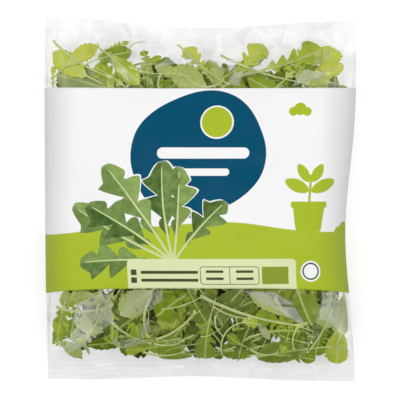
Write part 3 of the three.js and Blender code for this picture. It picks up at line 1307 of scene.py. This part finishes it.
def leaf_material():
    shader = Shader("leaf")
    names = ("tint", "hue", "shade", "off_rib", "along", "stalk", "edge", "underside")
    tint, hue, shade, off, along, stalk, edge, underside = (shader.attribute(name) for name in names)
    mottle = shader.noise(130, 3)
    level = (tint + (mottle - 0.5) * 0.45).clamped()
    stops = ((0.0, LEAF_DEEP), (0.3, LEAF_DARK), (0.62, LEAF_FRESH), (1.0, LEAF_PALE))
    green = shader.node("ValToRGB", {"stops": stops}, {0: level})
    green = shader.mix((hue * (0.5 - tint * 0.45)).clamped(), green, LEAF_GREY)
    green = shader.mix(underside * UNDERSIDE_SHARE, green, LEAF_UNDERSIDE)
    branch = ((along - abs(off) * 0.8) / 4.2).fraction()
    branch = (1 - abs(branch - 0.5) * 14).clamped() * 0.3
    rib = ((1.1 - abs(off)) * 2).clamped()
    veins = rib.most(branch).clamped()
    colour = shader.mix(veins * (tint * 0.5 + 0.4), green, VEIN_COLOUR)
    margin = ((edge - 0.82) * 6).clamped() * 0.3
    colour = shader.mix(margin, colour, VEIN_COLOUR)
    colour = shader.mix(stalk * (tint * 0.8 + 0.2), colour, STALK_COLOUR)
    # Painted shade: deep leaves darkened towards LEAF_DEEP, as if shaded by the leaves above them
    colour = shader.mix(shade, colour, LEAF_DEEP)
    normal = shader.bump(0.35, mottle * 0.5 - veins * 0.6)
    looks = {"Base Color": colour, "Roughness": 0.45, "Specular IOR Level": 0.03, "Normal": normal}
    surface = shader.node("BsdfPrincipled", None, looks)
    glow = shader.node("BsdfTranslucent", None, {"Color": LEAF_GLOW})
    return shader.output(shader.blend(tint * 0.25 * (1 - shade), surface, glow))


# Stage


def add_camera():
    data = bpy.data.cameras.new("camera")
    data.sensor_width = SENSOR
    data.lens = SENSOR * (CAMERA_HEIGHT - MIDDLE_HEIGHT) / VIEW_WIDTH
    data.clip_start = 0.05
    camera = add_object("camera", data)
    camera.location = (-0.3 * MM, 0, CAMERA_HEIGHT * MM)
    bpy.context.scene.camera = camera


def add_softbox(name, place, size, radiance):
    """A rectangular light at a place in metres, aimed at the bag."""
    data = bpy.data.lights.new(name, "AREA")
    data.shape = "RECTANGLE"
    data.size, data.size_y = size
    data.energy = radiance * math.pi * size[0] * size[1]
    light = add_object(name, data)
    light.location = place
    light.rotation_euler = (-light.location).to_track_quat("-Z", "Y").to_euler()


def add_floor():
    shader = Shader("floor")
    looks = {
        "Base Color": (0.4, 0.4, 0.4, 1),
        "Roughness": 0.9,
        "Specular IOR Level": 0,
        "Emission Color": (1, 1, 1, 1),
        "Emission Strength": 0.66,
    }
    mesh = bpy.data.meshes.new("floor")
    mesh.from_pydata([(-4, -4, 0), (4, -4, 0), (4, 4, 0), (-4, 4, 0)], [], [(0, 1, 2, 3)])
    mesh.materials.append(shader.output(shader.node("BsdfPrincipled", None, looks)))
    add_object("floor", mesh)


def add_world():
    world = bpy.data.worlds.new("studio")
    world.use_nodes = True
    background = world.node_tree.nodes["Background"]
    background.inputs["Color"].default_value = (1, 1, 1, 1)
    background.inputs["Strength"].default_value = 0.24
    bpy.context.scene.world = world


SOFTBOXES = (
    # name, place, size, radiance
    ("left", (-0.95, 0.0, 1.95), (0.75, 1.5), 4.6),
    ("right", (0.95, 0.0, 1.95), (0.75, 1.5), 4.6),
    ("head", (-0.1, 1.0, 0.9), (0.3, 0.3), 5),
    ("head_left", (-0.75, 0.85, 0.6), (0.25, 0.3), 5),
    ("head_right", (0.7, 0.95, 0.7), (0.3, 0.2), 5),
    ("tail_left", (-0.7, -0.95, 0.7), (0.3, 0.2), 5),
    ("tail_right", (0.75, -0.85, 0.6), (0.25, 0.3), 5),
)


def add_stage():
    add_camera()
    add_floor()
    add_world()
    for name, place, size, radiance in SOFTBOXES:
        add_softbox("softbox_" + name, place, size, radiance)
    bpy.context.scene.view_settings.view_transform = "Standard"


add_stage()
clear = clear_film_material("clear_film", FILM_TINT, GREY_TINT, FILM_SHARE)
fin_clear = clear_film_material("fin_film", 0.995, 0.995, 0)
printed = print_material()
add_clear_film(clear)
add_band(printed)
add_fin(fin_clear, printed)
tree = scatter_tree(leaf_collection(), leaf_material())
rng = np.random.default_rng(7)
deep = (0, DEEP_LAYERS)
higher = (0.5, DEEP_LAYERS + 0.04)
large = (0.7, 1.0)
little = (0.32, 0.55)
smooth = (BROAD, NARROW, SPOON, OVAL, ROUND, STALK, ARCH)
small = (NARROW, OVAL, BROAD, STALK)
head_plan = leaf_plan(rng, 76, 1, -91, range(len(LEAF_KINDS)), large, deep, (0.1, 0.85))
tail_plan = leaf_plan(rng, 86, -1, -82, smooth, large, deep, (0.05, 0.8))
head_plan += leaf_plan(rng, 34, 1, -91, small, little, higher, (0.1, 0.85))
tail_plan += leaf_plan(rng, 60, -1, -82, small, little, higher, (0.05, 0.8))
head_looks = (HEAD_LEAF_SHADE, HEAD_LEAF_LIFT, tree)
tail_looks = (TAIL_LEAF_SHADE, TAIL_LEAF_LIFT, tree)
add_leaves("leaves_head", head_plan, *head_looks)
add_leaves("leaves_tail", tail_plan, *tail_looks)
add_leaves("front_leaves_head", placed_by_eye(TOP_LEAVES), *head_looks)
add_leaves("front_leaves_tail", placed_by_eye(BOTTOM_LEAVES), *tail_looks)
